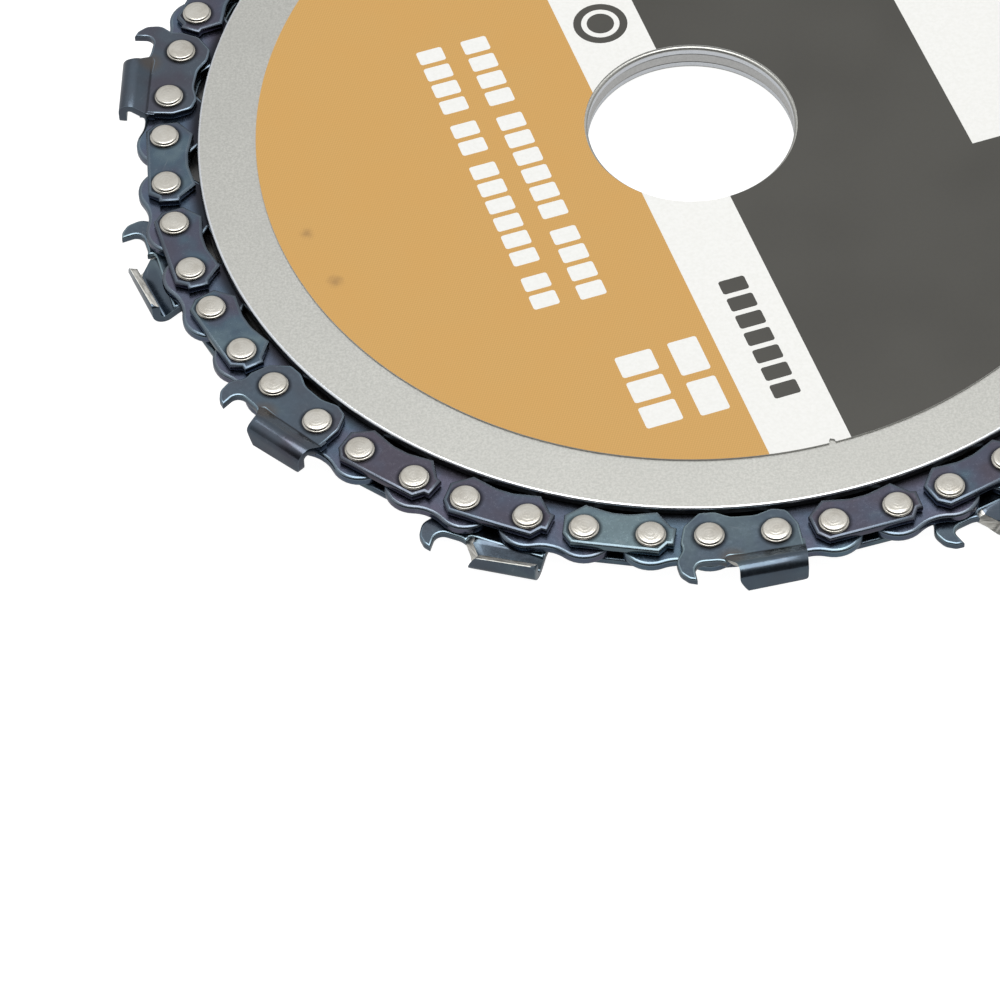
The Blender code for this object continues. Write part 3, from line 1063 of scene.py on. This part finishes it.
def drive_mesh():
    outlines = [drive_outline(), *pivot_holes(DRIVE_PITCH, DRIVE_HOLE_RADIUS)]
    shape = flat_solid(outlines, -DRIVE_HALF, DRIVE_HALF, DRIVE_ROLL)
    return new_mesh("drive_link", shape, ["drive", "worn"])


def cutter_mesh():
    outlines = [cutter_outline(), *pivot_holes(STRAP_PITCH, HOLE_RADIUS)]
    chassis = flat_solid(outlines, STEEL_INNER, STEEL_TOP, CUTTER_ROLL)
    return new_mesh("cutter", united([chassis, tooth()]), ["cutter", "worn", "ground"])


def link_place(angle, distance):
    """Where a link stands on the ring, with its y axis outwards."""
    spot = Vector((math.cos(angle), math.sin(angle), 0)) * distance * MM
    return Matrix.Translation(spot) @ Matrix.Rotation(angle - math.pi / 2, 4, "Z")


def rivet_place(pivot, tilts):
    """A rivet at its pivot, turned and tilted at random, since no two are staked alike."""
    turn = Matrix.Rotation(tilts.uniform(0, 2 * math.pi), 4, "Z")
    tilt = Matrix.Rotation(tilts.uniform(-RIVET_TILT, RIVET_TILT), 4, "X")
    return pivot @ turn @ tilt


def add_chain():
    """28 outer links, each of two straps or a strap and a cutter with two rivets, and the drive links."""
    strap = strap_mesh()
    meshes = {
        "tie_strap_upper": strap,
        "tie_strap_lower": flipped(strap, "tie_strap_lower"),
        "cutter_upper": cutter_mesh(),
    }
    meshes["cutter_lower"] = flipped(meshes["cutter_upper"], "cutter_lower")
    drive = drive_mesh()
    rivet = rivet_mesh()
    tilts = random.Random(11)
    kinds = [
        ("upper_cutter_link", "cutter_upper", "tie_strap_lower"),
        ("tie_link", "tie_strap_upper", "tie_strap_lower"),
        ("lower_cutter_link", "tie_strap_upper", "cutter_lower"),
        ("tie_link", "tie_strap_upper", "tie_strap_lower"),
    ]
    counts = {}
    for station in range(LINK_PAIRS):
        number = station + 1
        angle = CHAIN_TURN + station * 2 * HALF_PERIOD
        kind, upper, lower = kinds[station % STATIONS_PER_CUTTER]
        counts[kind] = counts.get(kind, 0) + 1
        nodes = [f"{kind}_{counts[kind]:02d}"]
        place = link_place(angle, STRAP_DISTANCE)
        tint = TINTS[station % len(TINTS)]
        for part, blueness in ((upper, tint), (lower, 0.75 - 0.2 * tint)):
            add_piece(f"{part}_{number:02d}", meshes[part], "chain", nodes, place, blueness)
        for side, end in ((1, "front"), (-1, "rear")):
            pivot = place @ Matrix.Translation((side * STRAP_PITCH / 2 * MM, 0, 0))
            add_piece(f"rivet_{number:02d}_{end}", rivet, "chain", nodes, rivet_place(pivot, tilts))
        add_piece(
            f"drive_link_steel_{number:02d}", drive, "chain", [f"drive_link_{number:02d}"],
            link_place(angle + HALF_PERIOD, DRIVE_DISTANCE), 0.1 + 0.5 * tint,
        )


# Stage ---------------------------------------------------------------------------------------------

# Lengths here are in metres, apart from the lens and the floor's fading, which are in millimetres.
CAMERA_ELEVATION = math.radians(51.11)
CAMERA_ROLL = math.radians(2.52)
CAMERA_DISTANCE = 567.2 * MM
CAMERA_LEFT = 22.27 * MM
CAMERA_DOWN = 39.52 * MM
CAMERA_LENS = 190.1
FLOOR_SIZE = 6.0
FLOOR_GLOW = 0.97
FLOOR_REFLECTED = 0.4
# Distances from the axis. The floor's glow fades between the first two and comes back between the others; the
# ring without glow is a painted shadow under the disc.
GLOW_IN_BORE, GLOW_STOPS, GLOW_STARTS, GLOW_OUTSIDE = 16.5, 19.0, 54.5, 56.5
SOFTBOX_PLACE = (0.0, 0.04, 0.62)
SOFTBOX_SIZE = 0.44
SOFTBOX_POWER = 2.1
BACKDROP = 1.05


def add_camera():
    """A long lens from above and in front. The disc's centre is up and to the right of the view's middle."""
    right = Vector((1, 0, 0))
    up = Vector((0, math.sin(CAMERA_ELEVATION), math.cos(CAMERA_ELEVATION)))
    back = right.cross(up)
    turned_right = right * math.cos(CAMERA_ROLL) - up * math.sin(CAMERA_ROLL)
    turned_up = right * math.sin(CAMERA_ROLL) + up * math.cos(CAMERA_ROLL)
    camera = bpy.data.objects.new("camera", bpy.data.cameras.new("camera"))
    bpy.context.scene.collection.objects.link(camera)
    place = Matrix((turned_right, turned_up, back)).transposed().to_4x4()
    target = Vector((0, 0, STEEL_TOP * MM))
    place.translation = target - right * CAMERA_LEFT - up * CAMERA_DOWN + back * CAMERA_DISTANCE
    camera.matrix_world = place
    camera.data.lens = CAMERA_LENS
    camera.data.sensor_width = 36
    camera.data.clip_start = 0.01
    bpy.context.scene.camera = camera


def add_floor():
    """A pale floor that glows, so that shadows round the disc stay faint, but not under the disc itself,
    where the missing glow is a painted shadow.

    It glows less in the metal's reflections than to the camera, which keeps the links' walls dark.
    """
    material, tree, shader = new_material("studio_floor")
    place = object_place(tree)
    colour = mixed(tree, noise(tree, place, 8, 2, 0.5), (0.26, 0.26, 0.26), (0.27, 0.27, 0.27))
    tree.links.new(colour, shader.inputs["Base Color"])
    shader.inputs["Roughness"].default_value = 0.8
    shader.inputs["Specular IOR Level"].default_value = 0.1
    shader.inputs["Emission Color"].default_value = (1, 1, 1, 1)
    away = vector_node(tree, "LENGTH", place)
    in_bore = mapped(tree, away, GLOW_IN_BORE * MM, GLOW_STOPS * MM, FLOOR_GLOW, 0.0)
    outside = mapped(tree, away, GLOW_STARTS * MM, GLOW_OUTSIDE * MM, 0.0, FLOOR_GLOW)
    glow = math_node(tree, "ADD", outside, in_bore)
    glow = math_node(tree, "MULTIPLY", glow, by_ray(tree, FLOOR_REFLECTED, 1.0))
    tree.links.new(glow, shader.inputs["Emission Strength"])
    shape = bmesh.new()
    bmesh.ops.create_grid(shape, x_segments=8, y_segments=8, size=FLOOR_SIZE)
    mesh = mesh_of(shape, "floor")
    mesh.materials.append(material)
    floor = bpy.data.objects.new("floor", mesh)
    floor.location.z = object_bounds()[0].z - 0.02 * MM
    bpy.context.scene.collection.objects.link(floor)


def add_softbox():
    """The only lamp, high above the disc and facing its centre."""
    light = bpy.data.lights.new("softbox_overhead", "AREA")
    light.shape = "SQUARE"
    light.size = SOFTBOX_SIZE
    light.energy = SOFTBOX_POWER
    softbox = bpy.data.objects.new("softbox_overhead", light)
    bpy.context.scene.collection.objects.link(softbox)
    softbox.location = SOFTBOX_PLACE
    softbox.rotation_euler = (-Vector(SOFTBOX_PLACE)).to_track_quat("-Z", "Y").to_euler()


def add_world():
    """Studio surroundings: bright overhead, dimmer behind and at the sides, dark on the camera's side."""
    world = bpy.data.worlds.new("studio")
    world.use_nodes = True
    bpy.context.scene.world = world
    tree = world.node_tree
    direction = axes_of(tree, node(tree, "ShaderNodeTexCoord").outputs["Generated"])
    overhead = mapped(tree, direction["Z"], 0.42, 0.80, 0.66, 0.94)
    front = mapped(tree, direction["Y"], -0.6, -0.05, 0.12, 1.0)
    strength = math_node(tree, "MULTIPLY", overhead, front)
    background = tree.nodes["Background"]
    background.inputs["Color"].default_value = (1, 1, 1, 1)
    tree.links.new(by_ray(tree, strength, BACKDROP), background.inputs["Strength"])


add_discs()
add_piece("label_printed", label_mesh(), "upper_plate", ["label"])
add_chain()
add_camera()
add_floor()
add_world()
add_softbox()
bpy.context.scene.view_settings.view_transform = "Standard"
